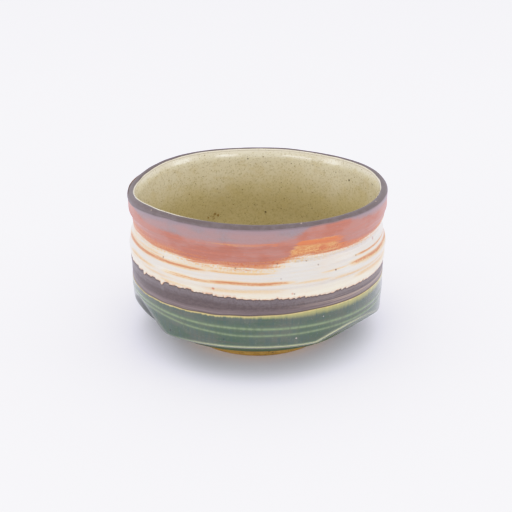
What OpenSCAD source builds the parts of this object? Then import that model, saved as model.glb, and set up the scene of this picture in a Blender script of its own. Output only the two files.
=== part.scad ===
// Thrown tea bowl: a stoneware wall on a turned foot ring, coated in bands of slip and glaze.
// Millimetres. The origin is on the bowl's axis in the plane the foot ring stands on; +Z is up
// and -Y is the front, where the turned bevel is deepest.

/* [Bowl] */
// Greatest radius of the glazed wall
wall_r = 60; // [58:0.5:62]
// Height of the foot ring, up to the flat it is joined to
foot_h = 5; // [4:0.5:5]
// Outer radius of the foot ring where it stands
foot_r = 34.2; // [32:0.1:35]
// Width of the foot ring where it stands
foot_w = 5.4; // [4:0.1:6]
// Depth of the throwing waist under the lip
waist_depth = 1.9; // [0.8:0.1:2]
// Height of the throwing waist
waist_z = 57; // [56:0.5:58]

/* [Inside] */
// Height of the inside floor at the foot of the wall
floor_z = 11.5; // [11:0.1:13]
// Radius of the inside wall above its corner
inner_r = 54.4; // [53:0.1:54.6]
// Radius of the corner between the inside wall and the floor
inner_corner_r = 19; // [17:0.5:24]

/* [Coats] */
// Thickness of the glaze and slip on the outside
coat_t = 0.5; // [0.4:0.05:0.6]
// Thickness of the bare iron slip band
iron_t = 0.3; // [0.2:0.05:0.35]
// Thickness of the glaze lining
lining_t = 0.35; // [0.3:0.05:0.4]
// Thickness of the iron wash over the lip
wash_t = 0.35; // [0.3:0.05:0.4]
// Height of the edge between the green glaze and the iron band
green_top_z = 33; // [31:0.5:34]
// Height of the edge between the iron band and the white slip
iron_top_z = 41.5; // [40:0.5:43]
// Height of the seam between the white slip and the coral glaze, at the axis
seam_z = 57; // [55:0.1:59]
// Slope of that seam from left to right, in degrees
seam_tilt = 2.2; // [0:0.1:4]
// Height of the iron wash's lower edge
wash_z = 71; // [70.6:0.1:71.1]

/* [Trimming] */
// Slope of the turned bevel under the wall, rise over run
bevel_slope = 0.66; // [0.6:0.01:0.7]
// Height of the bevel's upper edge at the front
bevel_front_z = 17.4; // [16.5:0.1:18]
// How far behind the bowl's axis the bevel was centred
bevel_shift = 9; // [8:0.1:10]

/* [Hidden] */
$fn = 96;

// Lip: a rounded bead that ends the wall
clay_lip = 1.45;                  // radius of the clay bead
wash_lip = clay_lip + wash_t;     // radius over the wash
lip_r = wall_r - coat_t - clay_lip;
lip_z = 71.35;

// Underside of the glazed wall
under_slope = 0.26;               // gentle rise from the foot outwards
under_r = 35;                     // radius at which the glazed underside is foot_h - coat_t high
corner_r = 58.8;                  // radius of the lower corner, where nothing trims it
corner_z = 12;
flat_r = 36.2;                    // outer edge of the flat the foot ring is joined to
recess_r = 27.5;                  // inner edge of that flat
recess_z = foot_h + 1.4;          // ceiling of the hollow inside the foot ring
boss_r = 4;                       // small boss left by trimming at the middle of the hollow
glaze_end_r = 38;                 // the green glaze stops here, clear of the foot

// Knife cuts round the lower wall: azimuth from the front, height of the upper edge, slope
CUTS = [[45.8, 20.5, 1.02], [-63.5, 22.2, 2.03], [112, 19, 1.15], [163, 17.5, 0.9], [-128, 20.5, 1.3]];
cut_r = 58.6;                     // radius at which a cut's upper edge has that height
// Scooped cut inside the left facet: azimuth, radius and height of the scoop's centre, its radius
SCOOP = [-64.6, 80, 2, 29.5];

// Raised turning lines under the green glaze
LINES = [23.6, 27.3];
line_w = 1.3;
line_h = 0.25;

// Radius of the glazed outside at height z: a shallow barrel with one waist
function bump(z) = abs(z - waist_z) < 9 ? (1 + cos(20 * (z - waist_z))) / 2 : 0;
function barrel(z) = z < 46 ? 0.8 * pow((46 - z) / 35, 2) : 0;
function outer_r(z) = wall_r - barrel(z) - waist_depth * bump(z);
function under_z(r) = foot_h - coat_t + under_slope * (r - under_r);
WALL_Z = concat([16, 20], [for (z = LINES) each [z - line_w / 2, z, z + line_w / 2]],
    [green_top_z, 37, iron_top_z, 45], [for (z = [48:1.5:66]) z], [wash_z, lip_z]);

// Radius of the inside of the lining at height z, flaring from the wall to the lip
function ease(u) = u <= 0 ? 0 : u >= 1 ? 1 : u * u * (3 - 2 * u);
function lining_r(z) = inner_r + (lip_r - clay_lip - lining_t - inner_r) * ease((z - 50) / (lip_z - 50));
LINING_Z = concat([50], [for (z = [53:3:68]) z], [wash_z, lip_z]);

// Points on an arc from angle a0 to a1
function arc(c, r, a0, a1, n) = [for (i = [0:n]) let (a = a0 + (a1 - a0) * i / n) c + r * [cos(a), sin(a)]];

// Outside of the bowl shrunk by t, from under the foot to height top
function outside(t, top) = concat(
    [[0, foot_h + 0.4], [boss_r, recess_z], [recess_r - 2.5, recess_z], [recess_r, foot_h - coat_t + t]],
    [[flat_r, foot_h - coat_t + t], [corner_r - 1.8, under_z(corner_r - 1.8) + t], [corner_r - t, corner_z]],
    [for (z = WALL_Z) if (z <= top) [outer_r(z) - t, z]]);

// Inside of the bowl cut back by t, from the axis up to height top
function inside(t, top) = concat(
    [[0, floor_z - 0.5 - t]],
    arc([inner_r - inner_corner_r, floor_z + inner_corner_r], inner_corner_r + t, -90, 0, 10),
    [for (z = LINING_Z) if (z <= top) [lining_r(z) + t, z]]);

function reversed(v) = [for (i = [len(v) - 1:-1:0]) v[i]];

// Everything the potter cut away round the base, taken t deeper
module trimming(t) {
    cone_foot = bevel_front_z - bevel_slope * (cut_r + bevel_shift);
    difference() {
        translate([0, 0, -6]) cylinder(r = 80, h = 30);
        translate([0, bevel_shift, t * 1.2 + cone_foot + 22])
            cylinder(h = 32, r1 = 22 / bevel_slope, r2 = 54 / bevel_slope);
    }
    for (c = CUTS)
        rotate([0, 0, c[0] - 90]) translate([cut_r, 0, c[1]]) rotate([0, -atan(c[2]), 0])
            translate([-60, -70, t - 40]) cube([120, 140, 40]);
    rotate([0, 0, SCOOP[0] - 90]) translate([SCOOP[1], 0, SCOOP[2]]) sphere(r = SCOOP[3] + t);
}

// Ring of coat on the wall between heights z0 and z1, its skin that far inside the glazed outside
module wall_ring(skin, z0, z1) {
    STEPS = [for (z = WALL_Z) if (z >= z0 && z <= z1) z];
    rotate_extrude() polygon(concat(
        [for (z = STEPS) [outer_r(z) - skin, z]],
        [for (z = reversed(STEPS)) [outer_r(z) - coat_t, z]]));
}

// Half space above the sloping seam of the white slip and the coral glaze
module above_seam() {
    translate([0, 0, seam_z]) rotate([0, -seam_tilt, 0]) translate([-90, -90, 0]) cube([180, 180, 60]);
}

// Thrown wall and floor, trimmed round the base
module clay_body() {
    color("#8a6a52") difference() {
        rotate_extrude() polygon(concat(
            outside(coat_t, wash_z),
            arc([lip_r, lip_z], clay_lip, 0, 180, 10),
            reversed(inside(lining_t, wash_z))));
        trimming(coat_t);
    }
}

// Turned foot the bowl stands on
module foot_ring() {
    color("#c98b3c") rotate_extrude() polygon([
        [foot_r - foot_w, 0], [foot_r, 0], [foot_r + 0.7, 0.9], [foot_r + 1.4, foot_h],
        [foot_r - foot_w - 0.6, foot_h], [foot_r - foot_w - 0.6, 0.8]]);
}

// Ash glaze over the whole inside
module inner_glaze() {
    color("#bdb88d") rotate_extrude() polygon(concat(inside(lining_t, wash_z), reversed(inside(0, wash_z))));
}

// Iron wash over the lip
module rim_wash() {
    color("#5d4d48") rotate_extrude() polygon(concat(
        [[lip_r + clay_lip, wash_z]], arc([lip_r, lip_z], clay_lip, 0, 180, 10), [[lip_r - clay_lip, wash_z]],
        [[lip_r - wash_lip, wash_z]], arc([lip_r, lip_z], wash_lip, 180, 0, 10), [[lip_r + wash_lip, wash_z]]));
}

// Coral glaze round the top of the wall, down to the sloping seam
module coral_glaze() {
    color("#c9765a") intersection() {
        wall_ring(0, iron_top_z, wash_z);
        above_seam();
    }
}

// White slip between the iron band and the sloping seam
module white_slip() {
    color("#e9e0d2") difference() {
        wall_ring(0, iron_top_z, wash_z);
        above_seam();
    }
}

// Iron slip band, thinner than the coats above and below it
module iron_band() {
    color("#5a4743") wall_ring(coat_t - iron_t, green_top_z, iron_top_z);
}

// Green glaze over the lower wall and its trimmed underside, with two raised turning lines
module green_glaze() {
    color("#4f6f58") difference() {
        rotate_extrude() polygon(concat(
            [for (p = outside(0, green_top_z)) [p[0] + (search(p[1], LINES) != [] ? line_h : 0), p[1]]],
            [[0, green_top_z]]));
        trimming(0);
        difference() {
            rotate_extrude() polygon(concat(outside(coat_t, iron_top_z), [[0, iron_top_z]]));
            trimming(coat_t);
        }
        translate([0, 0, -1]) cylinder(r = glaze_end_r, h = 60);
    }
}

clay_body();
foot_ring();
inner_glaze();
rim_wash();
coral_glaze();
white_slip();
iron_band();
green_glaze();
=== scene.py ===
"""Looks for the thrown tea bowl: code-built coats of slip and glaze on a stoneware body.

Shapes are worked out in millimetres on a grid of azimuth (0 at the front, -Y, growing towards +X)
and distance along the bowl's section, and turned into metres when the mesh is made.
"""
import math

import bpy
import numpy as np
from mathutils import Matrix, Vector


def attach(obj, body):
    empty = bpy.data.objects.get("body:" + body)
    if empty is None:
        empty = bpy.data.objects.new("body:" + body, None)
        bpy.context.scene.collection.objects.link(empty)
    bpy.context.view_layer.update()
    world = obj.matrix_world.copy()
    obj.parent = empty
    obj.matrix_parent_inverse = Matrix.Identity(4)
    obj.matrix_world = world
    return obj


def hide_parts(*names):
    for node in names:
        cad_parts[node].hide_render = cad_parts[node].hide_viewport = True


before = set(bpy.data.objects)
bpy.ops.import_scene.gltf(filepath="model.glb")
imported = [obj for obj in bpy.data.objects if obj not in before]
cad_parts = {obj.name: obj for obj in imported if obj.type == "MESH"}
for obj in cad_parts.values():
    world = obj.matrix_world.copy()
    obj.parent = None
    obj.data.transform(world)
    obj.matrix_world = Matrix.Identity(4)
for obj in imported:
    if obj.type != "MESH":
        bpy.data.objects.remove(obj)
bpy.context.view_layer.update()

MM = 0.001
TURN = 900  # points round the bowl
THETA = np.linspace(-math.pi, math.pi, TURN, endpoint=False)

# ---------------------------------------------------------------- sizes of the bowl, in millimetres
WALL_R, WALL_TOP_Z = 60.0, 71.0
WAIST_Z, WAIST_DEPTH, WAIST_HALF = 57.0, 1.9, 9.0
BELLY_Z = 47.3  # a low swelling above the iron band
LIP_Z, LIP_R, LIP_BEAD = 71.3, 58.07, 1.9  # centre and radius of the lip's rounded bead
INNER_R, FLOOR_Z, CORNER_R = 54.4, 11.5, 19.0
FLOOR_DISH = 0.5  # how much lower the middle of the floor lies
EASE_Z, EASE_OUT = 48.0, 0.85  # the inside wall eases out above this height
FLARE_Z, FLARE_TOP, FLARE_OUT = 67.2, 72.2, 1.25
LIP_BLEND = 14.0  # the inside follows the rim's dip this far down
CLAY_LIP_TURN, LINING_LIP_TURN = 150, 152  # degrees round the lip's bead, from outside, that each reaches
COAT, IRON, LINING, WASH = 0.5, 0.3, 0.35, 0.35
FOOT_H, FOOT_R, FOOT_W = 5.0, 34.2, 5.4
UNDER_SLOPE, UNDER_R = 0.26, 35.0
GLAZE_END_R = 38.0  # the green glaze stops here, clear of the foot
CLAY_FLAT_R, CLAY_END_R = 36.2, 36.4  # the foot's flat ends, and the clay's trimmed side starts
CLAY_SIDE_Z = 34.0  # the clay's trimmed side gives way to its plain wall here
CUT_R = 58.6  # radius at which a cut's upper edge has its stated height
BEVEL_SLOPE, BEVEL_MEAN_Z, BEVEL_SWING, BEVEL_TURN = 0.66, 11.5, 5.9, 1.5
RIDGE_BLEND = 0.45  # rounding of the ridges between trimmed faces
# The trimmed outside is found along rays fanned out from a ring inside the clay
RAY_R, RAY_Z, RAY_REACH, RAY_HALVINGS = 40.0, 24.0, 42.0, 18
FIRST_RAY, LAST_RAY = -100, 40  # degrees above level: from under the bowl to up its wall
UNDER_SHARE, WALL_SHARE = 0.23, 0.46  # share of the rays at which the underside ends, and the wall begins
SEEN_RAYS, HIDDEN_RAYS = 200, 70
# Rows of points across the seen face of each coat
GREEN_ROWS, IRON_ROWS, UPPER_ROWS, WASH_ROWS, LINING_ROWS = 98, 64, 98, 34, 80
# Knife cuts: azimuth, height of the upper edge, slope
CUTS = [(45.8, 20.5, 1.02), (-63.5, 22.2, 2.03), (112.0, 19.0, 1.15), (163.0, 17.5, 0.9),
        (-128.0, 20.5, 1.3)]
# Scoop inside the left cut: azimuth, radius and height of its centre, its radius
SCOOP = (-65.0, 80.5, 3.0, 30.6)

STUDIO = 1.28  # brightness of the studio's light on a level white card


# ---------------------------------------------------------------- small shape functions
def wave(theta, seed, low, high, size):
    """A smooth random function of azimuth, made of whole waves round the bowl."""
    rng = np.random.default_rng(seed)
    total = np.zeros_like(theta)
    for k in range(low, high + 1):
        total += rng.normal() * np.cos(k * theta + rng.uniform(0, 2 * math.pi))
    return size * total / math.sqrt(high - low + 1)


def around(theta, stops):
    """Smooth periodic curve through (azimuth in degrees, value) stops."""
    at = np.array([s[0] for s in stops], float)
    value = np.array([s[1] for s in stops], float)
    at = np.concatenate([at - 360, at, at + 360])
    value = np.tile(value, 3)
    fine = np.linspace(-540, 540, 4321)
    y = np.interp(fine, at, value)
    kernel = np.hanning(41)
    y = np.convolve(y, kernel / kernel.sum(), mode="same")
    return np.interp(np.degrees(theta), fine, y)


def hill(x, centre, width):
    """One at the centre, falling off on both sides."""
    return np.exp(-(((x - centre) / width) ** 2))


def angle_from(theta, centre):
    """Degrees from an azimuth, between -180 and 180."""
    return (np.degrees(theta) - centre + 180) % 360 - 180


def step(x, start, end):
    """Smooth rise from 0 at start to 1 at end, whichever of the two is the greater."""
    u = np.clip((x - start) / (end - start), 0, 1)
    return u * u * (3 - 2 * u)


def all_round(x):
    """The azimuth of every point of a grid."""
    return np.broadcast_to(THETA, x.shape)


def spread(x):
    """A column of numbers repeated all round the bowl."""
    return x[:, None] + 0 * THETA


def line_length(r, z):
    """Length along a line of points, from its start to each of them."""
    return np.concatenate([[0], np.cumsum(np.hypot(np.diff(r), np.diff(z)))])


def evenly(points, count):
    """Rows spaced evenly along a line of (radius, height) points."""
    r, z = np.array(points, float).T
    length = line_length(r, z)
    at = np.linspace(0, length[-1], count)
    return spread(np.interp(at, length, r)), spread(np.interp(at, length, z))


def rim_height(theta):
    """The rim is not quite level: it dips at the left and rises on both sides of the dip."""
    stops = [(-180, 73.3), (-160, 73.5), (-140, 73.6), (-128, 73.2), (-118, 72.5), (-110, 71.75),
             (-100, 71.1), (-90, 71.0), (-80, 71.4), (-68, 72.4), (-55, 73.5), (-40, 73.9), (-28, 73.7),
             (-16, 73.4), (0, 73.2), (40, 73.3), (80, 73.5), (105, 73.8), (115, 73.7), (125, 73.4),
             (140, 73.1), (150, 73.1), (165, 73.4)]
    return around(theta, stops) + wave(theta, 3, 8, 20, 0.04)


def wall(theta, z):
    """Radius of the glazed outside before trimming."""
    from_waist = (z - WAIST_Z) / WAIST_HALF
    bump = np.where(np.abs(from_waist) < 1, (1 + np.cos(math.pi * from_waist)) / 2, 0)
    barrel = np.where(z < 46, 0.7 * ((46 - z) / 35) ** 2, 0)
    r = WALL_R - barrel - WAIST_DEPTH * bump
    r = r + 0.35 * hill(z, BELLY_Z, 1.8)
    calm = step(z, 34, 40) * (1 - step(z, 62, 68))
    r = r + calm * 0.22 * np.cos(2 * math.pi * z / 6.1 - theta + 1.9)
    r = r + calm * 0.07 * np.cos(2 * math.pi * z / 2.3 - 2 * theta)
    oval = wave(theta, 5, 2, 4, 0.16) * step(z, 10, 70)
    return r + oval + 0.3 * hill(angle_from(theta, -92), 0, 18) * step(z, 62, 69)


# ---------------------------------------------------------------- edges between the coats
def seam_height(theta):
    """Height of the seam between the white slip and the coral glaze."""
    stops = [(-180, 61.5), (-150, 60), (-120, 57.5), (-90, 56.8), (-60, 56.7), (-45, 55.8), (-30, 54.9),
             (-20, 54.4), (-10, 54.2), (2, 54.2), (8, 55.2), (14, 57.2), (20, 58.0), (28, 58.4), (40, 58.1),
             (55, 58.8), (70, 60.6), (90, 62.0), (120, 59.5), (150, 62.0)]
    return around(theta, stops) + wave(theta, 11, 6, 18, 0.25)


def ragged_height(theta):
    """Lower edge of the white slip: lumps of bare iron slip rise into it and drop off short."""
    base = around(theta, [(-180, 40.8), (-120, 40.4), (-60, 41.4), (-30, 41.8), (0, 40.8), (30, 39.9),
                          (60, 39.5), (110, 40.4)])
    rng = np.random.default_rng(22)
    edge = np.zeros_like(theta)
    at = -180.0
    while at < 180:
        right = at > 5
        width = rng.uniform(0.9, 4.4) * (0.6 if right else 1.0)
        height = rng.uniform(0.20, 0.9) * (0.6 + 0.4 * min(width, 2.5) / 2.5) * (1.35 if right else 1.0)
        u = angle_from(theta, at) / width
        lump = height * np.clip(u, 0, 1) ** rng.uniform(0.3, 1.1) * step(u, 1.12, 0.97)
        edge = np.maximum(edge, lump * (u > 0))
        at += width * rng.uniform(0.85, 1.5)
    nicks = 1.5 * hill(angle_from(theta, -43.5), 0, 0.8) + 0.9 * hill(angle_from(theta, -56.5), 0, 0.7)
    return base + edge - nicks + wave(theta, 23, 90, 180, 0.07)


def green_top(theta):
    """Upper edge of the green glaze."""
    stops = [(-180, 33.2), (-110, 31.6), (-60, 31.6), (-30, 32.4), (0, 33.5), (25, 34.2), (60, 33.8),
             (120, 33.0)]
    return around(theta, stops) + wave(theta, 31, 8, 30, 0.10)


def line_heights(theta):
    """Heights of the two raised turning lines in the lower wall."""
    upper = around(theta, [(-180, 27.6), (-90, 28.6), (-50, 28.2), (-20, 27.4), (0, 27.1), (30, 26.6),
                           (60, 25.9), (120, 26.6)])
    lower = around(theta, [(-180, 24.2), (-90, 27.0), (-50, 26.4), (-30, 24.9), (-10, 23.9), (20, 23.8),
                           (60, 23.4), (120, 23.6)])
    return upper + wave(theta, 41, 4, 16, 0.08), lower + wave(theta, 42, 4, 16, 0.08)


def wash_edge(theta):
    """Lower edge of the iron wash on the outside of the lip."""
    drop = around(theta, [(-180, 1.5), (-110, 1.6), (-90, 2.0), (-76, 2.6), (-66, 2.9), (-56, 2.8),
                          (-48, 2.3), (-38, 1.75), (-16, 1.65), (0, 1.55), (12, 1.4), (25, 1.2), (90, 1.2)])
    return rim_height(theta) - drop + wave(theta, 51, 6, 40, 0.07)


def wash_inner_angle(theta):
    """How far round the lip's bead, in degrees from outside, the iron wash reaches on the inside."""
    reach = around(theta, [(-180, 126), (-150, 128), (-130, 132), (-108, 134), (-92, 134), (-78, 116),
                           (-66, 98), (-55, 90), (-38, 84), (-27, 96), (-18, 135), (0, 148), (60, 140),
                           (85, 130), (110, 128), (150, 126)])
    return reach + wave(theta, 52, 8, 40, 2.5)


# ---------------------------------------------------------------- meshes
def grid_mesh(name, r, z, poles=False, fields=None):
    """Closed mesh from rows of points round the bowl; the rows join end to end, or end in two poles."""
    theta = all_round(r)
    n, m = r.shape
    verts = np.stack([r * np.sin(theta), -r * np.cos(theta), z], axis=-1).reshape(-1, 3)
    i, j = np.meshgrid(np.arange(n if not poles else n - 1), np.arange(m), indexing="ij")
    i2, j2 = (i + 1) % n, (j + 1) % m
    quads = np.stack([i * m + j, i * m + j2, i2 * m + j2, i2 * m + j], axis=-1).reshape(-1, 4)
    faces = quads.tolist()
    if poles:
        first, last = len(verts), len(verts) + 1
        verts = np.vstack([verts, verts[:m].mean(axis=0), verts[-m:].mean(axis=0)])
        ring = np.arange(m)
        faces += [[first, int((k + 1) % m), int(k)] for k in ring]
        faces += [[last, int((n - 1) * m + k), int((n - 1) * m + (k + 1) % m)] for k in ring]
    mesh = bpy.data.meshes.new(name)
    mesh.from_pydata((verts * MM).tolist(), [], faces)
    for key, value in (fields or {}).items():
        flat = np.asarray(value, dtype=np.float32).reshape(-1)
        if poles:
            flat = np.concatenate([flat, flat[:1], flat[-1:]])
        layer = mesh.attributes.new(key, "FLOAT", "POINT")
        layer.data.foreach_set("value", flat)
    mesh.polygons.foreach_set("use_smooth", [True] * len(mesh.polygons))
    mesh.update()
    piece = bpy.data.objects.new(name, mesh)
    bpy.context.scene.collection.objects.link(piece)
    return piece


def backed(rows_r, rows_z):
    """Adds the hidden rows that close a coat on the wall against the clay."""
    top, bottom = rows_z[-1], rows_z[0]
    z = bottom + (top - bottom) * np.linspace(1, 0, 5)[:, None]
    r = wall(all_round(z), z) - COAT
    return np.vstack([rows_r, r]), np.vstack([rows_z, z])


def rolled(distance, width, full, thin):
    """Thickness of a coat at a distance from its edge, rounding up to its full thickness."""
    u = np.clip(distance / width, 0, 1)
    return thin + (full - thin) * np.sqrt(1 - (1 - u) ** 2)


# ---------------------------------------------------------------- the lower wall, trimmed
def bevel_edge(theta):
    """Height of the turned bevel's upper edge, highest near the front."""
    return BEVEL_MEAN_Z + BEVEL_SWING * np.cos(theta - math.radians(BEVEL_TURN))


def trim_depth(theta, r, z, t):
    """Distance outside the trimmed bowl shrunk by t, with ridges rounded.

    Also returned: the gap between the two outermost faces, which is nothing on a ridge, and how far the
    left and the right cut stand proud of the wall and the bevel.
    """
    upper, lower = line_heights(theta)
    lines = 0.20 * hill(z, upper, 0.42) + 0.17 * hill(z, lower, 0.38)
    walls = [r - (wall(theta, z) + (lines if t == 0 else 0) - t)]
    under = FOOT_H - COAT + t + UNDER_SLOPE * (r - UNDER_R)
    walls.append((under - z) / math.hypot(1, UNDER_SLOPE))
    bevel = bevel_edge(theta) - BEVEL_SLOPE * (CUT_R - r)
    walls.append((bevel - z) / math.hypot(1, BEVEL_SLOPE) + t)
    for azimuth, z0, slope in CUTS:
        along = r * np.cos(theta - math.radians(azimuth))
        walls.append((z0 - slope * (CUT_R - along) - z) / math.hypot(1, slope) + t)
    azimuth, scoop_r, scoop_z, radius = SCOOP
    turn = theta - math.radians(azimuth)
    away = np.sqrt((r * np.sin(turn)) ** 2 + (r * np.cos(turn) - scoop_r) ** 2 + (z - scoop_z) ** 2)
    walls.append(radius - away + t)
    # In order: the wall, the underside, the bevel, the knife cuts as listed in CUTS, the scoop
    faces = np.stack(walls)
    uncut = np.maximum(faces[0], faces[2])
    right_cut, left_cut = faces[3] - uncut, np.maximum(faces[4], faces[-1]) - uncut
    peak = faces.max(axis=0)
    blend = peak + RIDGE_BLEND * np.log(np.exp((faces - peak) / RIDGE_BLEND).sum(axis=0))
    top_two = np.sort(faces, axis=0)[-2:]
    return blend, top_two[1] - top_two[0], left_cut, right_cut


def trimmed_rows(t, top, end_r, count, rays):
    """Rows from under the foot out and up to height top, on the trimmed outside shrunk by t."""
    angles = np.radians(np.linspace(FIRST_RAY, LAST_RAY, rays))
    a, theta = np.meshgrid(angles, THETA, indexing="ij")
    near, far = np.zeros_like(a), np.full_like(a, RAY_REACH)
    for _ in range(RAY_HALVINGS):
        mid = (near + far) / 2
        inside = trim_depth(theta, RAY_R + mid * np.cos(a), RAY_Z + mid * np.sin(a), t)[0] < 0
        near, far = np.where(inside, mid, near), np.where(inside, far, mid)
    r, z = RAY_R + near * np.cos(a), RAY_Z + near * np.sin(a)
    rows_r, rows_z = np.zeros((count, TURN)), np.zeros((count, TURN))
    low, high = int(rays * UNDER_SHARE), int(rays * WALL_SHARE)
    for j in range(TURN):
        length = line_length(r[:, j], z[:, j])
        begin = np.interp(end_r, r[:low, j], length[:low])
        finish = np.interp(top[j], z[high:, j], length[high:])
        at = np.linspace(begin, finish, count)
        rows_r[:, j], rows_z[:, j] = np.interp(at, length, r[:, j]), np.interp(at, length, z[:, j])
    return rows_r, rows_z


# Marks in the green glaze: azimuth, height, radius, whether pale
MARKS = [
    (16.0, 21.7, 0.45, True), (-14.0, 21.5, 0.4, False), (-40.0, 19.5, 0.6, False), (28.0, 29.8, 0.3, True),
    (64.3, 26.3, 0.6, False), (64.8, 25.4, 0.6, False), (65.2, 24.6, 0.5, False), (67.8, 26.7, 0.6, False),
    (68.4, 25.7, 0.6, False), (71.8, 26.9, 0.6, False), (72.4, 26.0, 0.6, False),
    (140.0, 25.5, 0.5, False), (-150.0, 22.5, 0.5, True),
]


def olive_width(theta):
    """How far the yellow-olive rim of the green glaze fades down the wall."""
    return around(theta, [(-180, 1.5), (-90, 0.8), (-30, 0.9), (-10, 1.4), (5, 2.2), (18, 3.3), (40, 3.9),
                          (65, 3.6), (110, 1.8)])


def build_green_glaze():
    top = green_top(THETA)
    r, z = trimmed_rows(0, top, GLAZE_END_R, GREEN_ROWS, SEEN_RAYS)
    theta = all_round(z)
    _, gap, left_cut, right_cut = trim_depth(theta, r, z, 0)
    upper, lower = line_heights(theta)
    from_top = top - z
    r = r - (COAT - rolled(from_top, 1.3, COAT, IRON + 0.02)) * (z > 30)
    low = np.hypot(r - GLAZE_END_R, z - z[0])
    lift = COAT - rolled(low, 0.9, COAT, 0.05)
    z = z + lift * (r < GLAZE_END_R + 3)
    lines = 0.85 * hill(z, upper, 0.45) + 0.75 * hill(z, lower, 0.40)
    lines = lines + 0.22 * hill(z, upper, 1.3) + 0.18 * hill(z, lower, 1.1)
    front_bevel = step(bevel_edge(theta) - z, 0.6, 2.2) * step(np.cos(theta), 0.55, 0.8)
    from_left_cut = angle_from(theta, -62)
    sharp = 1 - 0.9 * step(from_left_cut, -30, -22) * (1 - step(from_left_cut, 18, 50))
    fainter_right = 1 - 0.55 * step(np.degrees(theta), 36, 56)
    back_r, back_z = trimmed_rows(COAT, top, GLAZE_END_R, 7, HIDDEN_RAYS)
    seen = {
        "from_top": from_top,
        "lines": lines,
        # ridge: pale along the ridges, fainter by the left cut and on the right; partly glaze breaking
        # pale, partly a painted highlight
        "ridge": hill(gap, 0, 0.55) * step(low, 4, 9) * sharp * fainter_right,
        "left_cut": step(left_cut, -0.5, 0.5),
        "right_cut": step(right_cut, -0.4, 0.4),
        # under: the underside and the front bevel below its edge; the look dulls the glaze there and paints
        # a darker green as shade
        "under": np.maximum(front_bevel, 1 - step(z, 6.5, 12)),
        "olive": olive_width(theta),
    }
    # The hidden rows carry nothing, but the olive width is divided by and stays at one
    hidden = {key: np.full_like(back_r, key == "olive") for key in seen}
    fields = {key: np.vstack([seen[key], hidden[key]]) for key in seen}
    rows_r, rows_z = np.vstack([r, back_r[::-1]]), np.vstack([z, back_z[::-1]])
    return grid_mesh("green_glaze_coat", rows_r, rows_z, fields=fields)


# ---------------------------------------------------------------- bands on the wall
def band_rows(bottom, top, count):
    """Azimuths and heights of rows between two edges, with close ones at both."""
    u = np.concatenate([[0, 0.002], np.linspace(0, 1, count - 2)[1:-1], [0.998, 1]])
    z = bottom + (top - bottom) * u[:, None]
    return all_round(z), z


def build_iron_band():
    theta, z = band_rows(green_top(THETA) - 0.6, ragged_height(THETA) + 0.05, IRON_ROWS)
    grain = 0.015 * np.cos(2 * math.pi * z / 1.1 + 3 * np.sin(2 * theta)) * step(np.degrees(theta), 5, 40)
    r = wall(theta, z) - COAT + rolled(z - z[0], 0.8, IRON, 0.02) + grain
    rows_r, rows_z = backed(r, z)
    above_green = rows_z - green_top(THETA)
    degrees = np.degrees(all_round(rows_z))
    striped = step(degrees, 6, 34) * (1 - step(degrees, 100, 130)) * hill(above_green, 2.6, 2.6)
    fields = {"from_top": ragged_height(THETA) - rows_z, "above_green": above_green, "striped": striped}
    return grid_mesh("iron_band_slip", rows_r, rows_z, fields=fields)


STREAK_GROOVE = 0.10  # depth of the brush's groove along a streak
# Orange brush streaks in the white slip: height, first and last azimuth, strength, half width, slope
STREAKS = [
    (52.1, -82, -20, 1.0, 0.68, 0.004), (53.6, -76, -40, 0.4, 0.45, 0.01), (52.4, -22, 8, 0.7, 0.4, 0.0),
    (48.1, -22, 15, 1.0, 0.52, 0.002), (47.9, -42, -14, 0.75, 0.5, 0.002), (47.6, -72, -46, 0.45, 0.6, 0.0),
    (47.6, 12, 34, 0.35, 0.45, 0.0), (50.4, 41, 98, 1.0, 0.62, -0.003), (50.2, 26, 46, 0.45, 0.3, -0.003),
    (53.1, 45, 96, 0.95, 0.42, -0.003), (46.4, 30, 92, 0.42, 0.6, -0.01), (44.5, -24, 14, 0.3, 0.8, 0.0),
    (44.2, 44, 90, 0.45, 0.8, 0.0), (49.2, 48, 92, 0.35, 0.4, 0.0),
    (46.3, -70, -62, 0.6, 0.5, 0.0), (43.4, -46, -28, 0.35, 0.5, 0.0), (45.4, -58, -34, 0.3, 0.6, 0.0),
    (51.0, 98, 150, 0.9, 0.6, 0.01), (47.4, 110, 176, 0.7, 0.7, 0.0), (54.6, 120, 172, 0.5, 0.6, 0.01),
    (44.4, 128, 165, 0.4, 0.7, 0.0), (52.4, -176, -120, 0.8, 0.6, 0.0), (48.6, -168, -104, 0.9, 0.5, 0.005),
    (45.4, -150, -84, 0.5, 0.7, 0.0), (55.4, -140, -110, 0.5, 0.5, 0.0),
]
# Pin marks in the white slip: azimuth, height, radius, how dark
PINS = [(33.6, 50.1, 0.5, 0.85), (25.4, 53.9, 0.45, 0.5), (20.3, 56.1, 0.4, 0.55), (9.3, 49.9, 0.4, 0.4),
        (14.8, 42.7, 0.45, 0.6), (-43.0, 53.2, 0.5, 0.7), (45.5, 53.3, 0.5, 0.6), (60.7, 56.1, 0.6, 0.35),
        (-9.0, 54.3, 0.45, 0.6), (8.0, 56.0, 0.4, 0.6), (128.0, 52.0, 0.5, 0.7), (-150.0, 50.5, 0.5, 0.7)]
# Rust-red touches: azimuth, height, radius, strength
RUSTS = [(-18.0, 44.9, 0.8, 0.8), (27.0, 61.6, 1.6, 0.7), (60.7, 56.1, 1.0, 0.4), (32.0, 60.6, 0.9, 0.5),
         (14.0, 42.9, 0.6, 0.5), (-48.0, 59.0, 1.2, 0.5), (150.0, 62.0, 1.8, 0.7)]


def streak_field(theta, z):
    """Strength of the orange brush streaks."""
    degrees = np.degrees(theta)
    total = np.zeros_like(z)
    for n, (z0, first, last, strength, width, slope) in enumerate(STREAKS):
        middle = (first + last) / 2
        level = z0 + slope * (degrees - middle) + wave(theta, 100 + n, 3, 20, 0.12)
        ends = step(degrees, first - 4, first + 7) * (1 - step(degrees, last - 9, last + 4))
        total = np.maximum(total, strength * ends * hill(z, level, 1.25 * width))
    return total


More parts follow.
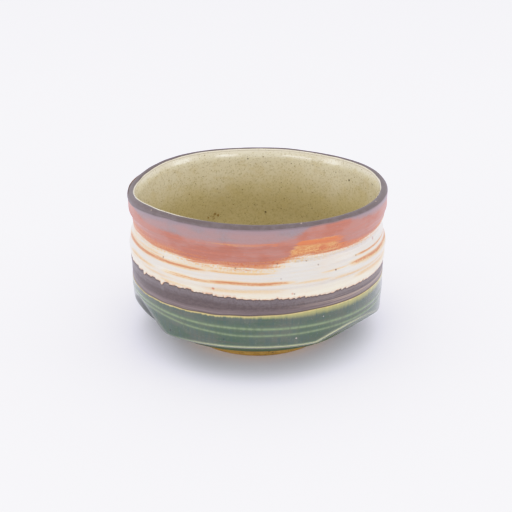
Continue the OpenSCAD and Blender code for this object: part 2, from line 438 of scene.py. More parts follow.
def fringe_width(theta):
    """Width of the orange fringe at the foot of the coral glaze, where it thins over the white slip."""
    return around(theta, [(-180, 2.0), (-90, 3.0), (-62, 4.2), (-46, 3.4), (-30, 2.6), (-10, 2.2), (2, 2.4),
                          (12, 2.6), (30, 2.6), (45, 1.8), (62, 2.0), (80, 2.6), (120, 2.2)])


def wall_fields(theta, z):
    """What the two upper coats share, so that they match where they meet."""
    lavender_low = around(theta, [
        (-180, 76), (-88, 74.0), (-78, 71.6), (-66, 69.0), (-56, 67.0), (-46, 66.0), (-30, 65.6), (0, 65.6),
        (10, 66.6), (16, 67.8), (20, 71.0), (25, 74.5), (33, 73.5), (42, 70.4), (58, 69.0), (76, 69.6),
        (92, 71.5), (120, 70), (150, 68.5)])
    degrees = np.degrees(theta)
    left_edge = step(degrees - (12.0 + 0.55 * (z - 58)), -2.4, 2.8)
    ochre = left_edge * (1 - step(degrees, 27, 44)) * (1 - step(z, 65.2, 66.9))
    ochre = ochre + 0.7 * hill(degrees, 46, 12) * hill(z, 59.6, 1.5)
    ochre = ochre + 0.55 * hill(degrees, -4, 20) * hill(z, 65.3, 0.8)
    ochre = ochre + 1.0 * hill(angle_from(theta, 150), 0, 16) * hill(z, 64, 3.0)
    blaze = hill(z, 65.0 - 0.05 * (degrees - 20), 1.5)
    blaze = blaze + 0.9 * hill(degrees, 27.5, 2.6) * hill(z, 61.3, 1.3) + 0.8 * step(degrees, 31, 38)
    return {
        "above_seam": z - seam_height(theta),
        "lavender": z - lavender_low,
        "below_wash": wash_edge(theta) - z,
        "blaze": blaze,
        # Painted light: the white slip on the right of the waist faces down and falls in shade, so it is
        # lifted towards white
        "painted_waist_light": step(degrees, 8, 30) * (1 - step(degrees, 95, 120)) * hill(z, 59.6, 2.6),
        "ochre": ochre,
        "fringe": fringe_width(theta),
        "streak": streak_field(theta, z),
        "above_iron": z - ragged_height(theta),
    }


def upper_coat(name, r, z):
    """Mesh of a coat that shares the upper wall's look."""
    rows_r, rows_z = backed(r, z)
    return grid_mesh(name, rows_r, rows_z, fields=wall_fields(all_round(rows_z), rows_z))


def build_white_slip():
    theta, z = band_rows(ragged_height(THETA), seam_height(THETA), UPPER_ROWS)
    edge = z - z[0]
    r = wall(theta, z) - COAT + rolled(edge, 0.5, COAT + 0.10 * hill(edge, 0.7, 0.6), IRON + 0.02)
    return upper_coat("white_slip_coat", r - STREAK_GROOVE * streak_field(theta, z), z)


def build_coral_glaze():
    theta, z = band_rows(seam_height(THETA), wash_edge(THETA) + 0.1, UPPER_ROWS)
    r = wall(theta, z) - STREAK_GROOVE * streak_field(theta, z)
    above_bead = np.clip(z - LIP_Z - rim_shift(theta), 0, None)
    bead_r = LIP_R + np.sqrt(np.clip(LIP_BEAD ** 2 - above_bead ** 2, 0.01, None))
    return upper_coat("coral_glaze_coat", np.minimum(r, bead_r), z)


# ---------------------------------------------------------------- the lip and the inside
def rim_shift(theta):
    """How far the rim stands above or below its nominal height."""
    return rim_height(theta) - (LIP_Z + LIP_BEAD)


def lip_oval(theta):
    """How far the lip stands out of round."""
    return wall(theta, WALL_TOP_Z + 0 * theta) - WALL_R


def bead(angle, radius):
    """Rows on the lip's bead, at angles from outside over the top."""
    theta = all_round(angle)
    r = LIP_R + lip_oval(theta) + radius * np.cos(np.maximum(angle, 0))
    return r, LIP_Z + rim_shift(theta) + radius * np.sin(angle)


def build_rim_wash():
    reach = np.radians(wash_inner_angle(THETA))
    start = np.arcsin(np.clip((wash_edge(THETA) - LIP_Z - rim_shift(THETA)) / LIP_BEAD, -0.6, 0.95))
    angle = start + np.linspace(0, 1, WASH_ROWS)[:, None] * (reach - start)
    radius = LIP_BEAD + 0.03 * wave(THETA, 61, 8, 40, 1.0) - 0.14 * step(angle / reach, 0.95, 1.0)
    r, z = bead(angle, radius)
    r = r + 0.04 * (1 - step(angle - start, 0.0, 0.3))
    back_r, back_z = bead(reach + np.linspace(0, 1, 10)[:, None] * (start - reach), LIP_BEAD - WASH)
    wear = np.vstack([np.sin(angle), 0 * back_r])
    rows_r, rows_z = np.vstack([r, back_r]), np.vstack([z, back_z])
    return grid_mesh("rim_iron_wash", rows_r, rows_z, fields={"wear": wear})


# Hidden rows between the lining and the clay, as shares of the section: closest in the corner
HIDDEN_ROWS = np.concatenate([np.linspace(0, 0.37, 6), np.linspace(0.395, 0.665, 11), [0.82, 1]])


def inside_section(t, shares):
    """Section of the lining shrunk by t, from its top edge down to the middle of the floor."""
    z = np.linspace(FLARE_TOP, FLOOR_Z + CORNER_R, 260)
    flare = np.clip((z - FLARE_Z) / (FLARE_TOP - FLARE_Z), 0, 1)
    r = INNER_R + EASE_OUT * step(z, EASE_Z, FLARE_Z) + FLARE_OUT * flare ** 2 + t
    a = np.radians(np.linspace(0, -90, 120))[1:]
    corner_r = INNER_R - CORNER_R + (CORNER_R + t) * np.cos(a)
    corner_z = FLOOR_Z + CORNER_R + (CORNER_R + t) * np.sin(a)
    floor_r = np.linspace(INNER_R - CORNER_R, 0.4, 120)[1:]
    floor_z = FLOOR_Z - t - FLOOR_DISH * (1 - floor_r / (INNER_R - CORNER_R))
    r, z = np.concatenate([r, corner_r, floor_r]), np.concatenate([z, corner_z, floor_z])
    length = line_length(r, z)
    at = length[-1] * shares
    return np.interp(at, length, r), np.interp(at, length, z), at


def hidden_lining():
    """Rows between the lining and the clay, from the lip down."""
    r, z, along = inside_section(LINING, HIDDEN_ROWS)
    near_lip = (1 - step(along, 0, LIP_BLEND))[:, None]
    return r[:, None] + lip_oval(THETA) * near_lip, z[:, None] + rim_shift(THETA) * near_lip


def over_bead(t, count):
    """The lining's top, from the iron wash's edge over the inside of the lip's bead."""
    reach = np.radians(wash_inner_angle(THETA)) - 0.02
    angle = reach + np.linspace(0, 1, count)[:, None] * (math.radians(LINING_LIP_TURN) - reach)
    return bead(np.maximum(angle, reach), LIP_BEAD - 0.03 - t)


def build_inner_glaze():
    r, z, along = [spread(v) for v in inside_section(0, np.linspace(0, 1, LINING_ROWS) ** 1.35)]
    near_lip = 1 - step(along, 0, LIP_BLEND)
    z = z + rim_shift(THETA) * near_lip
    spiral = np.cos(2 * math.pi * along / 8.6 - THETA)
    fade = step(along, 14, 40) * (1 - step(along, 96, 103))
    push = 0.05 * spiral * fade + 0.03 * wave(THETA, 65, 2, 9, 1.0) * step(along, 2, 10) * fade
    dr, dz = np.gradient(r, axis=0), np.gradient(z, axis=0)
    size = np.hypot(dr, dz)
    r, z = r + push * dz / size, z - push * dr / size
    r = r + lip_oval(THETA) * near_lip
    top_r, top_z = over_bead(0, 7)
    back_r, back_z = hidden_lining()
    under_r, under_z = over_bead(LINING, 4)
    rows_r = np.vstack([back_r[::-1], under_r[::-1], top_r, r])
    rows_z = np.vstack([back_z[::-1], under_z[::-1], top_z, z])
    depth = np.vstack([np.zeros((len(rows_r) - len(r), TURN)), along])
    return grid_mesh("inside_ash_glaze", rows_r, rows_z, poles=True, fields={"depth": depth})


# ---------------------------------------------------------------- clay body and foot
def build_foot_ring():
    out, inn = FOOT_R, FOOT_R - FOOT_W
    r, z = evenly([
        (inn - 0.55, FOOT_H), (inn - 0.6, 3.0), (inn - 0.55, 1.0), (inn - 0.3, 0.35), (inn, 0.08),
        (inn + 0.4, 0.0), (out - 0.5, 0.0), (out - 0.1, 0.1), (out + 0.3, 0.45), (out + 0.6, 1.0),
        (out + 1.0, 2.6), (out + 1.35, 4.2), (out + 1.4, FOOT_H),
    ], 70)
    free = step(z, 0.0, 0.6) * (1 - step(z, 4.0, 4.9))
    r = r + free * (wave(THETA, 71, 4, 24, 0.10) + 0.05 * np.cos(2 * math.pi * z / 0.9 + THETA))
    return grid_mesh("foot_ring_clay", r, z)


def build_clay_body():
    r, z = evenly([
        (0.3, 5.35), (2.0, 5.4), (4.2, 6.3), (7.0, 6.45), (24.8, 6.4), (26.6, 5.9), (27.5, FOOT_H),
        (28.6, FOOT_H), (CLAY_FLAT_R, FOOT_H),
    ], 40)
    groove = 0.10 * np.cos(2 * math.pi * r / 1.7 - THETA)
    groove = groove + 0.05 * np.cos(2 * math.pi * r / 0.6 - 2 * THETA)
    z = z + groove * step(r, 3, 6) * (1 - step(r, 24, 26.5))
    side_r, side_z = trimmed_rows(COAT, np.full(TURN, CLAY_SIDE_Z), CLAY_END_R, 14, HIDDEN_RAYS)
    up_z = spread(np.linspace(CLAY_SIDE_Z + 1, WALL_TOP_Z, 25))
    up_r = wall(all_round(up_z), up_z) - COAT
    lip_r, lip_z = bead(spread(np.radians(np.linspace(0, CLAY_LIP_TURN, 9))), LIP_BEAD - WASH)
    in_r, in_z = hidden_lining()
    rows_r = np.vstack([r, side_r, up_r, lip_r, in_r])
    rows_z = np.vstack([z, side_z, up_z, lip_z, in_z])
    return grid_mesh("stoneware_body", rows_r, rows_z, poles=True)


# ---------------------------------------------------------------- materials
def tone(r, g, b):
    """The shader's linear colour for a surface that shows as this colour, 0 to 255, in the studio."""
    def one(c):
        c = c / 255
        linear = c / 12.92 if c <= 0.04045 else ((c + 0.055) / 1.055) ** 2.4
        return linear / STUDIO
    return (one(r), one(g), one(b), 1.0)


class Look:
    """A material under construction; its methods add nodes and return their outputs."""

    def __init__(self, name):
        self.material = bpy.data.materials.new(name)
        self.material.use_nodes = True
        self.tree = self.material.node_tree
        self.tree.nodes.clear()
        self.shader = self.tree.nodes.new("ShaderNodeBsdfPrincipled")
        end = self.tree.nodes.new("ShaderNodeOutputMaterial")
        self.tree.links.new(self.shader.outputs["BSDF"], end.inputs["Surface"])
        coords = self.tree.nodes.new("ShaderNodeTexCoord")
        self.here = coords.outputs["Object"]

    def put(self, socket, value):
        if isinstance(value, bpy.types.NodeSocket):
            self.tree.links.new(value, socket)
        elif value is not None:
            socket.default_value = value

    def math(self, operation, a, b=None, clamp=False):
        node = self.tree.nodes.new("ShaderNodeMath")
        node.operation = operation
        node.use_clamp = clamp
        self.put(node.inputs[0], a)
        self.put(node.inputs[1], b)
        return node.outputs[0]

    def times(self, a, b, clamp=False):
        return self.math("MULTIPLY", a, b, clamp)

    def plus(self, a, b):
        return self.math("ADD", a, b)

    def swing(self, noise, size):
        """Noise moved to swing either side of nothing."""
        return self.times(self.math("SUBTRACT", noise, 0.5), size)

    def field(self, name):
        """A number carried by the mesh's points."""
        node = self.tree.nodes.new("ShaderNodeAttribute")
        node.attribute_name = name
        return node.outputs["Fac"]

    def stretched(self, x, y, z):
        """Object coordinates in millimetres, scaled along each axis."""
        node = self.tree.nodes.new("ShaderNodeVectorMath")
        node.operation = "MULTIPLY"
        self.put(node.inputs[0], self.here)
        node.inputs[1].default_value = (x / MM, y / MM, z / MM)
        return node.outputs[0]

    def noise(self, x, y, z, detail, rough):
        """Cloudy noise with about this many changes a millimetre along each axis."""
        node = self.tree.nodes.new("ShaderNodeTexNoise")
        self.put(node.inputs["Vector"], self.stretched(x, y, z))
        node.inputs["Scale"].default_value = 1.0
        node.inputs["Detail"].default_value = detail
        node.inputs["Roughness"].default_value = rough
        return node.outputs["Fac"]

    def cells(self, where, scale):
        """Distance to the nearest of scattered points, and a random number for each."""
        node = self.tree.nodes.new("ShaderNodeTexVoronoi")
        self.put(node.inputs["Vector"], where)
        node.inputs["Scale"].default_value = scale
        split = self.tree.nodes.new("ShaderNodeSeparateColor")
        self.tree.links.new(node.outputs["Color"], split.inputs[0])
        return node.outputs["Distance"], split.outputs[0]

    def remap(self, value, start, end, first=0.0, last=1.0):
        """Smooth change from first to last while the value goes from start to end."""
        node = self.tree.nodes.new("ShaderNodeMapRange")
        node.interpolation_type = "SMOOTHSTEP"
        self.put(node.inputs["Value"], value)
        for key, number in (("From Min", start), ("From Max", end), ("To Min", first), ("To Max", last)):
            self.put(node.inputs[key], number)
        return node.outputs["Result"]

    def mix(self, amount, a, b):
        node = self.tree.nodes.new("ShaderNodeMix")
        node.data_type = "RGBA"
        self.put(node.inputs["Factor"], amount)
        self.put(node.inputs[6], a)
        self.put(node.inputs[7], b)
        return node.outputs[2]

    def specks(self, cell_mm, share, size):
        """Mask of small round specks: one in some cells, of varied size."""
        distance, chance = self.cells(self.stretched(1, 1, 1), 1 / cell_mm)
        radius = self.remap(chance, 1 - share, 1.0, 0.0, size)
        edge = self.math("SUBTRACT", radius, distance)
        return self.remap(edge, 0.0, 0.06, 0.0, 1.0)

    def dot(self, azimuth, z, radius, reach=None):
        """Mask of one small round mark, on the outside of the wall unless a radius is given."""
        turn = math.radians(azimuth)
        if reach is None:
            reach = float(wall(np.array(turn), np.array(z)))
        node = self.tree.nodes.new("ShaderNodeVectorMath")
        node.operation = "DISTANCE"
        self.put(node.inputs[0], self.here)
        node.inputs[1].default_value = (reach * math.sin(turn) * MM, -reach * math.cos(turn) * MM, z * MM)
        return self.remap(node.outputs["Value"], radius * 1.15 * MM, radius * 0.45 * MM)

    def bump(self, height, depth_mm, strength=1.0, over=None):
        node = self.tree.nodes.new("ShaderNodeBump")
        node.inputs["Strength"].default_value = strength
        node.inputs["Distance"].default_value = depth_mm * MM
        self.put(node.inputs["Height"], height)
        self.put(node.inputs["Normal"], over)
        return node.outputs["Normal"]

    def finish(self, colour, roughness, normal, coat=0.0, coat_rough=0.1, ior=1.5):
        self.put(self.shader.inputs["Base Color"], colour)
        self.put(self.shader.inputs["Roughness"], roughness)
        self.put(self.shader.inputs["Normal"], normal)
        self.shader.inputs["IOR"].default_value = ior
        self.put(self.shader.inputs["Coat Weight"], coat)
        self.shader.inputs["Coat Roughness"].default_value = coat_rough
        return self.material


def upper_wall_look(name):
    """Coral and lavender glaze over brushed white slip; the same for both coats, so they meet unseen."""
    look = Look(name)
    brush = look.noise(0.035, 0.035, 1.1, 6, 0.6)
    dry = look.noise(0.10, 0.10, 2.2, 5, 0.65)
    fine = look.noise(0.45, 0.45, 1.5, 5, 0.65)
    cloud = look.noise(0.06, 0.06, 0.12, 3, 0.5)
    grain = look.noise(1.4, 1.4, 1.6, 4, 0.7)

    cream = look.remap(look.plus(look.field("above_iron"), look.times(brush, 8.0)), 12.0, 5.0)
    white = look.mix(cream, tone(224, 220, 209), tone(242, 231, 207))
    white = look.mix(look.remap(cloud, 0.45, 0.66, 0.0, 0.5), white, tone(234, 218, 198))
    white = look.mix(look.remap(dry, 0.50, 0.70, 0.0, 0.45), white, tone(238, 214, 172))
    # Painted light: lifts the white slip towards white on the right of the waist, where shade falls
    white = look.mix(look.times(look.field("painted_waist_light"), 0.85), white, tone(252, 246, 238))
    thread = look.noise(0.05, 0.05, 3.2, 3, 0.6)
    streak = look.times(look.field("streak"), look.remap(thread, 0.30, 0.54, 0.50, 1.2))
    streak = look.times(streak, look.remap(dry, 0.32, 0.52, 0.65, 1.1))
    streak = look.times(streak, look.remap(grain, 0.3, 0.6, 0.65, 1.1), clamp=True)
    white = look.mix(look.remap(streak, 0.02, 0.36, 0.0, 0.75), white, tone(238, 202, 150))
    white = look.mix(look.remap(streak, 0.30, 0.95, 0.0, 0.95), white, tone(207, 133, 76))
    near_iron = look.remap(look.field("above_iron"), 0.1, 1.3, 0.75, 0.0)
    near_iron = look.times(near_iron, look.remap(fine, 0.38, 0.6))
    white = look.mix(near_iron, white, tone(220, 152, 96))

    seam = look.plus(look.swing(brush, 7.0),
                     look.swing(dry, 5.0))
    seam = look.plus(seam, look.swing(grain, 3.0))
    level = look.plus(look.field("above_seam"), seam)
    halo = look.times(look.remap(level, -2.6, -0.3), look.remap(grain, 0.40, 0.60, 0.15, 0.9))
    white = look.mix(halo, white, tone(240, 204, 144))
    coral = look.mix(look.remap(cloud, 0.42, 0.58), tone(186, 113, 89), tone(189, 131, 115))
    coral = look.mix(look.remap(dry, 0.42, 0.66, 0.0, 0.55), coral, tone(202, 118, 88))
    coral = look.mix(look.remap(fine, 0.55, 0.72, 0.0, 0.4), coral, tone(194, 146, 138))
    ochre = look.plus(look.field("ochre"), look.swing(dry, 1.3))
    ochre = look.plus(ochre, look.swing(fine, 0.9))
    gold = look.mix(look.remap(fine, 0.38, 0.60), tone(218, 140, 74), tone(230, 172, 102))
    gold = look.mix(look.remap(grain, 0.46, 0.66, 0.0, 0.5), gold, tone(236, 188, 120))
    hot = look.plus(look.field("blaze"), look.swing(fine, 1.6))
    gold = look.mix(look.remap(hot, 0.25, 0.85, 0.0, 0.95), gold, tone(222, 124, 62))
    coral = look.mix(look.remap(ochre, 0.22, 0.72, 0.0, 0.95), coral, gold)
    mauve_line = look.plus(look.field("lavender"), look.swing(fine, 3.2))
    mauve_line = look.plus(mauve_line, look.swing(cloud, 3.0))
    mauve = look.mix(look.remap(grain, 0.36, 0.66), tone(160, 135, 132), tone(159, 146, 148))
    mauve = look.mix(look.remap(cloud, 0.44, 0.62, 0.0, 0.6), mauve, tone(183, 139, 132))
    mauve = look.mix(look.remap(look.field("below_wash"), 3.0, 0.4, 0.0, 0.45), mauve, tone(150, 138, 148))
    coral = look.mix(look.remap(mauve_line, -1.0, 1.6, 0.0, 0.95), coral, mauve)

    fringe_tone = look.mix(look.remap(grain, 0.38, 0.58), tone(200, 105, 57), tone(218, 149, 95))
    reach = look.math("DIVIDE", level, look.field("fringe"))
    reach = look.plus(reach, look.swing(grain, 0.8))
    coral = look.mix(look.remap(reach, 1.25, 0.55, 0.0, 0.95), coral, fringe_tone)
    coral = look.mix(look.remap(look.field("below_wash"), 0.8, 0.1, 0.0, 0.6), coral, tone(126, 110, 112))
    mask = look.remap(level, -0.6, 0.8)
    colour = look.mix(mask, white, coral)
    for azimuth, z, radius, dark in PINS:
        pin = look.times(look.dot(azimuth, z, radius), dark)
        colour = look.mix(pin, colour, tone(96, 62, 54))
    for azimuth, z, radius, strength in RUSTS:
        spot = look.times(look.dot(azimuth, z, radius), strength)
        colour = look.mix(look.times(spot, look.remap(fine, 0.3, 0.5)), colour, tone(206, 112, 66))

    roughness = look.remap(look.plus(mask, look.times(fine, 0.4)), 0.0, 1.3, 0.36, 0.44)
    height = look.plus(look.times(brush, 0.6), look.times(dry, 0.35))
    normal = look.bump(height, 0.30, 0.5)
    normal = look.bump(grain, 0.05, 0.4, normal)
    return look.finish(colour, roughness, normal, coat=0.3, coat_rough=0.25)


def iron_slip_look():
    """Dry dark iron slip, greyer and speckled where the white slip was wiped off above."""
    look = Look("iron_band_slip")
    brush = look.noise(0.025, 0.025, 1.5, 6, 0.6)
    mottle = look.noise(0.6, 0.6, 1.1, 4, 0.6)
    grain = look.noise(1.7, 1.7, 2.0, 4, 0.7)
    colour = look.mix(look.remap(mottle, 0.40, 0.62), tone(84, 67, 66), tone(98, 81, 79))
    colour = look.mix(look.remap(brush, 0.48, 0.66, 0.0, 0.6), colour, tone(80, 62, 58))
    colour = look.mix(look.remap(brush, 0.40, 0.26, 0.0, 0.7), colour, tone(138, 116, 108))
    colour = look.mix(look.remap(grain, 0.55, 0.72, 0.0, 0.45), colour, tone(134, 120, 124))
    low_light = look.remap(look.field("above_green"), 3.2, 1.0)
    low_light = look.times(low_light, look.remap(brush, 0.38, 0.58, 0.3, 0.9))
    colour = look.mix(low_light, colour, tone(142, 124, 122))
    bands = look.noise(0.02, 0.02, 1.5, 4, 0.6)
    stripe = look.times(look.field("striped"), look.remap(bands, 0.44, 0.58), clamp=True)
    colour = look.mix(look.times(stripe, 0.85), colour, tone(180, 159, 142))
    edge = look.math("SUBTRACT", look.field("from_top"), look.times(brush, 2.4))
    haze = look.times(look.remap(edge, 3.0, 0.4), look.remap(grain, 0.36, 0.58, 0.25, 1.0))
    colour = look.mix(look.times(haze, 0.75), colour, tone(130, 120, 121))
    tip = look.remap(look.field("from_top"), 0.70, 0.20, 0.0, 0.9)
    colour = look.mix(tip, colour, tone(74, 50, 42))
    foot = look.remap(look.field("above_green"), 0.50, 0.15, 0.0, 0.8)
    colour = look.mix(foot, colour, tone(70, 50, 44))
    roughness = look.remap(mottle, 0.3, 0.7, 0.36, 0.50)
    height = look.plus(look.times(mottle, 0.5), look.times(brush, 0.6))
    normal = look.bump(height, 0.20, 0.5)
    normal = look.bump(grain, 0.05, 0.5, normal)
    return look.finish(colour, roughness, normal, coat=0.3, coat_rough=0.25)


def rim_wash_look():
    """Iron wash on the lip, worn paler in small nicks."""
    look = Look("rim_iron_wash")
    mottle = look.noise(0.25, 0.25, 0.4, 4, 0.6)
    grain = look.noise(1.4, 1.4, 1.4, 4, 0.7)
    colour = look.mix(look.remap(mottle, 0.38, 0.64), tone(104, 88, 86), tone(118, 104, 104))
    colour = look.mix(look.remap(grain, 0.50, 0.72, 0.0, 0.6), colour, tone(92, 72, 66))
    nick = look.times(look.specks(1.6, 0.10, 0.30), look.field("wear"))
    colour = look.mix(look.times(nick, 0.8), colour, tone(192, 170, 152))
    roughness = look.remap(mottle, 0.3, 0.7, 0.44, 0.60)
    normal = look.bump(look.plus(mottle, grain), 0.06, 0.6)
    return look.finish(colour, roughness, normal, coat=0.2, coat_rough=0.25)


def green_look():
    """Glossy copper-green glaze that breaks pale over raised lines and cut edges; the pale ridge line is
    partly a painted highlight, and painted shade darkens the left cut and the underside.
    """
    look = Look("green_copper_glaze")
    drift = look.noise(0.05, 0.05, 0.12, 4, 0.6)
    runs = look.noise(0.7, 0.7, 0.10, 4, 0.6)
    brush = look.noise(0.05, 0.05, 1.0, 5, 0.6)
    grain = look.noise(1.3, 1.3, 1.3, 4, 0.7)
    colour = look.mix(look.remap(drift, 0.38, 0.62), tone(62, 90, 66), tone(90, 100, 86))
    colour = look.mix(look.remap(runs, 0.46, 0.66, 0.0, 0.6), colour, tone(58, 88, 84))
    colour = look.mix(look.remap(brush, 0.50, 0.68, 0.0, 0.5), colour, tone(90, 88, 72))
    colour = look.mix(look.remap(grain, 0.52, 0.74, 0.0, 0.5), colour, tone(96, 118, 90))
    line = look.times(look.field("lines"), look.remap(runs, 0.3, 0.6, 0.55, 1.0), clamp=True)
    colour = look.mix(line, colour, tone(136, 156, 112))
    # Painted shade: dark grey on the left cut's face, which faces down and falls in shade; its coat is also
    # left off
    facet = look.times(look.field("left_cut"), 0.85)
    colour = look.mix(facet, colour, tone(58, 62, 60))
    cut = look.times(look.field("right_cut"), look.remap(brush, 0.36, 0.60, 0.3, 0.9))
    colour = look.mix(cut, colour, tone(104, 122, 98))
    # Partly glaze breaking pale over the ridges, partly a painted highlight along them
    ridge = look.times(look.field("ridge"), look.remap(grain, 0.3, 0.6, 0.7, 1.0), clamp=True)
    colour = look.mix(ridge, colour, tone(206, 210, 162))
    top = look.plus(look.field("from_top"), look.swing(runs, 1.6))
    wide = look.remap(look.math("DIVIDE", top, look.field("olive")), 1.0, 0.25, 0.0, 0.85)
    colour = look.mix(wide, colour, tone(183, 179, 108))
    colour = look.mix(look.remap(top, 0.9, 0.3, 0.0, 0.9), colour, tone(210, 190, 120))
    dark_edge = look.remap(look.field("from_top"), 0.30, 0.05, 0.0, 0.8)
    colour = look.mix(dark_edge, colour, tone(92, 66, 46))
    for azimuth, z, radius, pale in MARKS:
        mark = look.times(look.dot(azimuth, z, radius), 0.8)
        colour = look.mix(mark, colour, tone(208, 196, 184) if pale else tone(42, 44, 34))
    # Painted shade: a darker green on the underside and the front bevel under the bowl; their rougher glaze
    # without a coat is real
    colour = look.mix(look.times(look.field("under"), 0.9), colour, tone(62, 90, 42))
    roughness = look.plus(look.remap(grain, 0.3, 0.7, 0.18, 0.28), look.times(look.field("under"), 0.5))
    height = look.plus(look.times(brush, 0.6), look.times(runs, 0.4))
    normal = look.bump(height, 0.30, 0.5)
    cuts = look.math("MAXIMUM", look.field("left_cut"), look.field("right_cut"))
    dull = look.math("MAXIMUM", look.field("under"), cuts)
    coat = look.times(look.math("SUBTRACT", 1.0, dull), 0.5)
    return look.finish(colour, roughness, normal, coat=coat, coat_rough=0.1)


# Amber spots low on the inside of the back wall: azimuth, height, radius
AMBERS = [(204.5, 39.0, 1.0), (206.8, 38.0, 0.7), (202.6, 38.2, 0.8), (208.6, 37.6, 0.6),
          (205.4, 37.2, 1.2)]


def inside_look():
    """Glossy pale olive ash glaze with fine iron specks, ambered lower down."""
    look = Look("inside_ash_glaze")
    depth = look.field("depth")
    cloud = look.noise(0.035, 0.035, 0.035, 4, 0.6)
    patch = look.noise(0.12, 0.12, 0.20, 4, 0.6)
    fine = look.noise(0.5, 0.5, 0.5, 4, 0.6)
    grain = look.noise(1.0, 1.0, 1.0, 4, 0.7)
    along = look.plus(depth, look.swing(cloud, 28.0))
    colour = look.mix(look.remap(along, 1.0, 27.0), tone(239, 231, 202), tone(211, 195, 140))
    colour = look.mix(look.remap(along, 26.0, 60.0), colour, tone(236, 221, 166))
    colour = look.mix(look.remap(patch, 0.50, 0.68, 0.0, 0.25), colour, tone(208, 186, 116))
    colour = look.mix(look.remap(fine, 0.50, 0.70, 0.0, 0.18), colour, tone(188, 168, 104))
    colour = look.mix(look.remap(grain, 0.50, 0.70, 0.0, 0.45), colour, tone(168, 152, 94))
    colour = look.mix(look.remap(grain, 0.46, 0.28, 0.0, 0.35), colour, tone(234, 224, 176))
    colour = look.mix(look.remap(depth, 1.4, 0.2, 0.0, 0.8), colour, tone(238, 229, 204))
    tiny = look.specks(0.85, 0.60, 0.38)
    small = look.specks(1.6, 0.28, 0.25)
    large = look.specks(4.6, 0.34, 0.15)
    colour = look.mix(look.times(tiny, 0.45), colour, tone(146, 128, 70))
    colour = look.mix(look.times(small, 0.65), colour, tone(108, 90, 44))
    colour = look.mix(look.times(large, 0.85), colour, tone(66, 54, 34))
    for azimuth, z, radius in AMBERS:
        amber = look.times(look.dot(azimuth, z, radius, INNER_R), look.remap(fine, 0.36, 0.56))
        colour = look.mix(look.times(amber, 0.8), colour, tone(142, 102, 30))
    roughness = look.remap(grain, 0.3, 0.7, 0.14, 0.24)
    height = look.math("SUBTRACT", grain, look.times(large, 0.4))
    normal = look.bump(height, 0.05, 0.4)
    return look.finish(colour, roughness, normal, coat=0.5, coat_rough=0.08)


def clay_look(name, base, pale, dark):
    """Bare stoneware: gritty, with iron specks."""
    look = Look(name)
    mottle = look.noise(0.18, 0.18, 0.3, 5, 0.6)
    grain = look.noise(1.5, 1.5, 1.5, 5, 0.7)
    colour = look.mix(look.remap(mottle, 0.35, 0.65), base, pale)
    colour = look.mix(look.remap(grain, 0.48, 0.68, 0.0, 0.7), colour, dark)
    specks = look.specks(1.8, 0.40, 0.26)
    colour = look.mix(look.times(specks, 0.8), colour, tone(74, 46, 24))
    roughness = look.remap(grain, 0.3, 0.7, 0.55, 0.8)
    normal = look.bump(grain, 0.12, 0.7)
    return look.finish(colour, roughness, normal)


# ---------------------------------------------------------------- stage, light and camera
# Radius of the paper the bowl stands on, in metres, and the points round its edge
PAPER_R, PAPER_POINTS = 4.0, 96


def build_floor():
    turns = np.linspace(0, 2 * math.pi, PAPER_POINTS, endpoint=False)
    ring = [(PAPER_R * math.cos(a), PAPER_R * math.sin(a), 0.0) for a in turns]
    mesh = bpy.data.meshes.new("floor")
    mesh.from_pydata(ring, [], [list(range(PAPER_POINTS))])
    floor = bpy.data.objects.new("floor", mesh)
    bpy.context.scene.collection.objects.link(floor)
    paper = Look("floor_paper")
    grain = paper.noise(0.002, 0.002, 0.002, 2, 0.5)
    colour = paper.mix(paper.remap(grain, 0.3, 0.7), (0.925, 0.912, 0.972, 1), (0.932, 0.919, 0.979, 1))
    floor.data.materials.append(paper.finish(colour, 0.9, None))
    return floor


# Lights: place, height aimed at on the bowl's axis, width and height, watts
LIGHTS = {
    "top_soft": ((0.0, -0.6, 3.0), 0.03, (2.4, 2.4), 7.0),
    "front_left": ((-1.05, -1.25, 0.48), 0.05, (0.95, 0.22), 2.6),
    "front_right": ((0.85, -1.35, 0.48), 0.05, (0.6, 0.30), 2.4),
    "left_soft": ((-1.35, -0.22, 0.38), 0.05, (0.5, 0.45), 2.2),
    "right_soft": ((1.35, -0.22, 0.38), 0.05, (0.5, 0.45), 2.2),
}
WORLD_COLOUR, WORLD_STRENGTH = (0.985, 0.98, 1.0, 1), 1.16


def add_light(name, place, aim_z, size, power):
    lamp = bpy.data.lights.new(name, "AREA")
    lamp.shape = "RECTANGLE"
    lamp.size, lamp.size_y = size
    lamp.energy = power
    holder = bpy.data.objects.new(name, lamp)
    bpy.context.scene.collection.objects.link(holder)
    holder.location = place
    direction = np.array((0, 0, aim_z)) - np.array(place)
    holder.rotation_euler = Vector(direction).to_track_quat("-Z", "Y").to_euler()


def light_scene():
    world = bpy.data.worlds.new("studio")
    bpy.context.scene.world = world
    world.use_nodes = True
    background = world.node_tree.nodes["Background"]
    background.inputs["Color"].default_value = WORLD_COLOUR
    background.inputs["Strength"].default_value = WORLD_STRENGTH
    for name, (place, aim_z, size, power) in LIGHTS.items():
        add_light(name, place, aim_z, size, power)


# Tone curve: points of the curve all channels share, and the ends of it and of the red and green curves
TONE_POINTS = [(0.25, 0.35), (0.50, 0.70), (0.62, 0.835), (0.75, 0.905)]
TONE_END, RED_GREEN_END = 0.960, 0.957
TONE_WHITE = 1.4


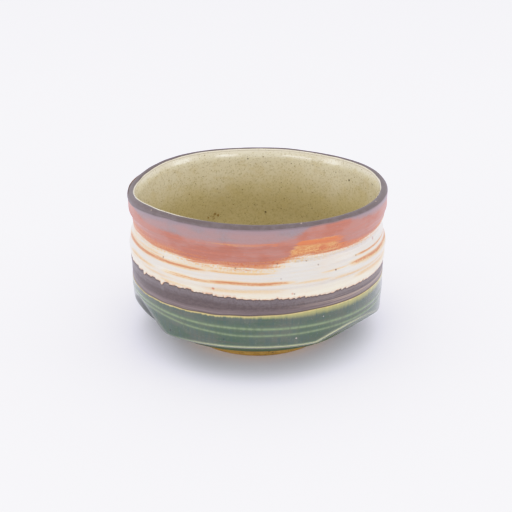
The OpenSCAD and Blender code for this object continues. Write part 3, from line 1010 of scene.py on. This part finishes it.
def set_tone_curve():
    """Rolls the brightest tones off below white, as the sweep behind a product does."""
    settings = bpy.context.scene.view_settings
    settings.view_transform = "Standard"
    settings.use_curve_mapping = True
    mapping = settings.curve_mapping
    mapping.extend = "HORIZONTAL"
    mapping.white_level = (TONE_WHITE, TONE_WHITE, TONE_WHITE)
    red, green, _, shared = mapping.curves
    for at, value in TONE_POINTS:
        shared.points.new(at, value)
    shared.points[-1].location = (1.0, TONE_END)
    for channel in (red, green):
        channel.points[-1].location = (1.0, RED_GREEN_END)
    mapping.update()


# Camera: distance to the point it looks at, angle down, that point's height, how far left it stands
CAMERA_AWAY, CAMERA_PITCH, CAMERA_AIM_Z, CAMERA_LEFT = 0.41215, 0.3961, 0.0356, 0.0007
CAMERA_SENSOR, CAMERA_LENS = 36.0, 60.27


def add_camera():
    camera = bpy.data.cameras.new("camera")
    camera.sensor_width = CAMERA_SENSOR
    camera.lens = CAMERA_LENS
    holder = bpy.data.objects.new("camera", camera)
    bpy.context.scene.collection.objects.link(holder)
    height = CAMERA_AIM_Z + CAMERA_AWAY * math.sin(CAMERA_PITCH)
    holder.location = (-CAMERA_LEFT, -CAMERA_AWAY * math.cos(CAMERA_PITCH), height)
    holder.rotation_euler = (math.pi / 2 - CAMERA_PITCH, 0, 0)
    bpy.context.scene.camera = holder


# ---------------------------------------------------------------- put together
upper_coral = upper_wall_look("coral_over_slip")
upper_white = upper_wall_look("white_brushed_slip")
ochre_clay = clay_look("ochre_stoneware", tone(190, 146, 58), tone(206, 164, 80), tone(150, 104, 40))
body_clay = clay_look("brown_stoneware", tone(168, 124, 78), tone(186, 142, 94), tone(136, 94, 56))

PIECES = [
    (build_clay_body, "clay_body", "clay", body_clay),
    (build_foot_ring, "foot_ring", "foot_clay", ochre_clay),
    (build_inner_glaze, "inner_glaze", "ash_glaze", inside_look()),
    (build_rim_wash, "rim_wash", "iron_wash", rim_wash_look()),
    (build_coral_glaze, "coral_glaze", "coral_glaze", upper_coral),
    (build_white_slip, "white_slip", "white_slip", upper_white),
    (build_iron_band, "iron_band", "iron_slip", iron_slip_look()),
    (build_green_glaze, "green_glaze", "green_glaze", green_look()),
]
for build, node, slot, material in PIECES:
    piece = build()
    piece.data.materials.append(material)
    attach(piece, "root")
    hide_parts(node)

floor = build_floor()
light_scene()
add_camera()
set_tone_curve()
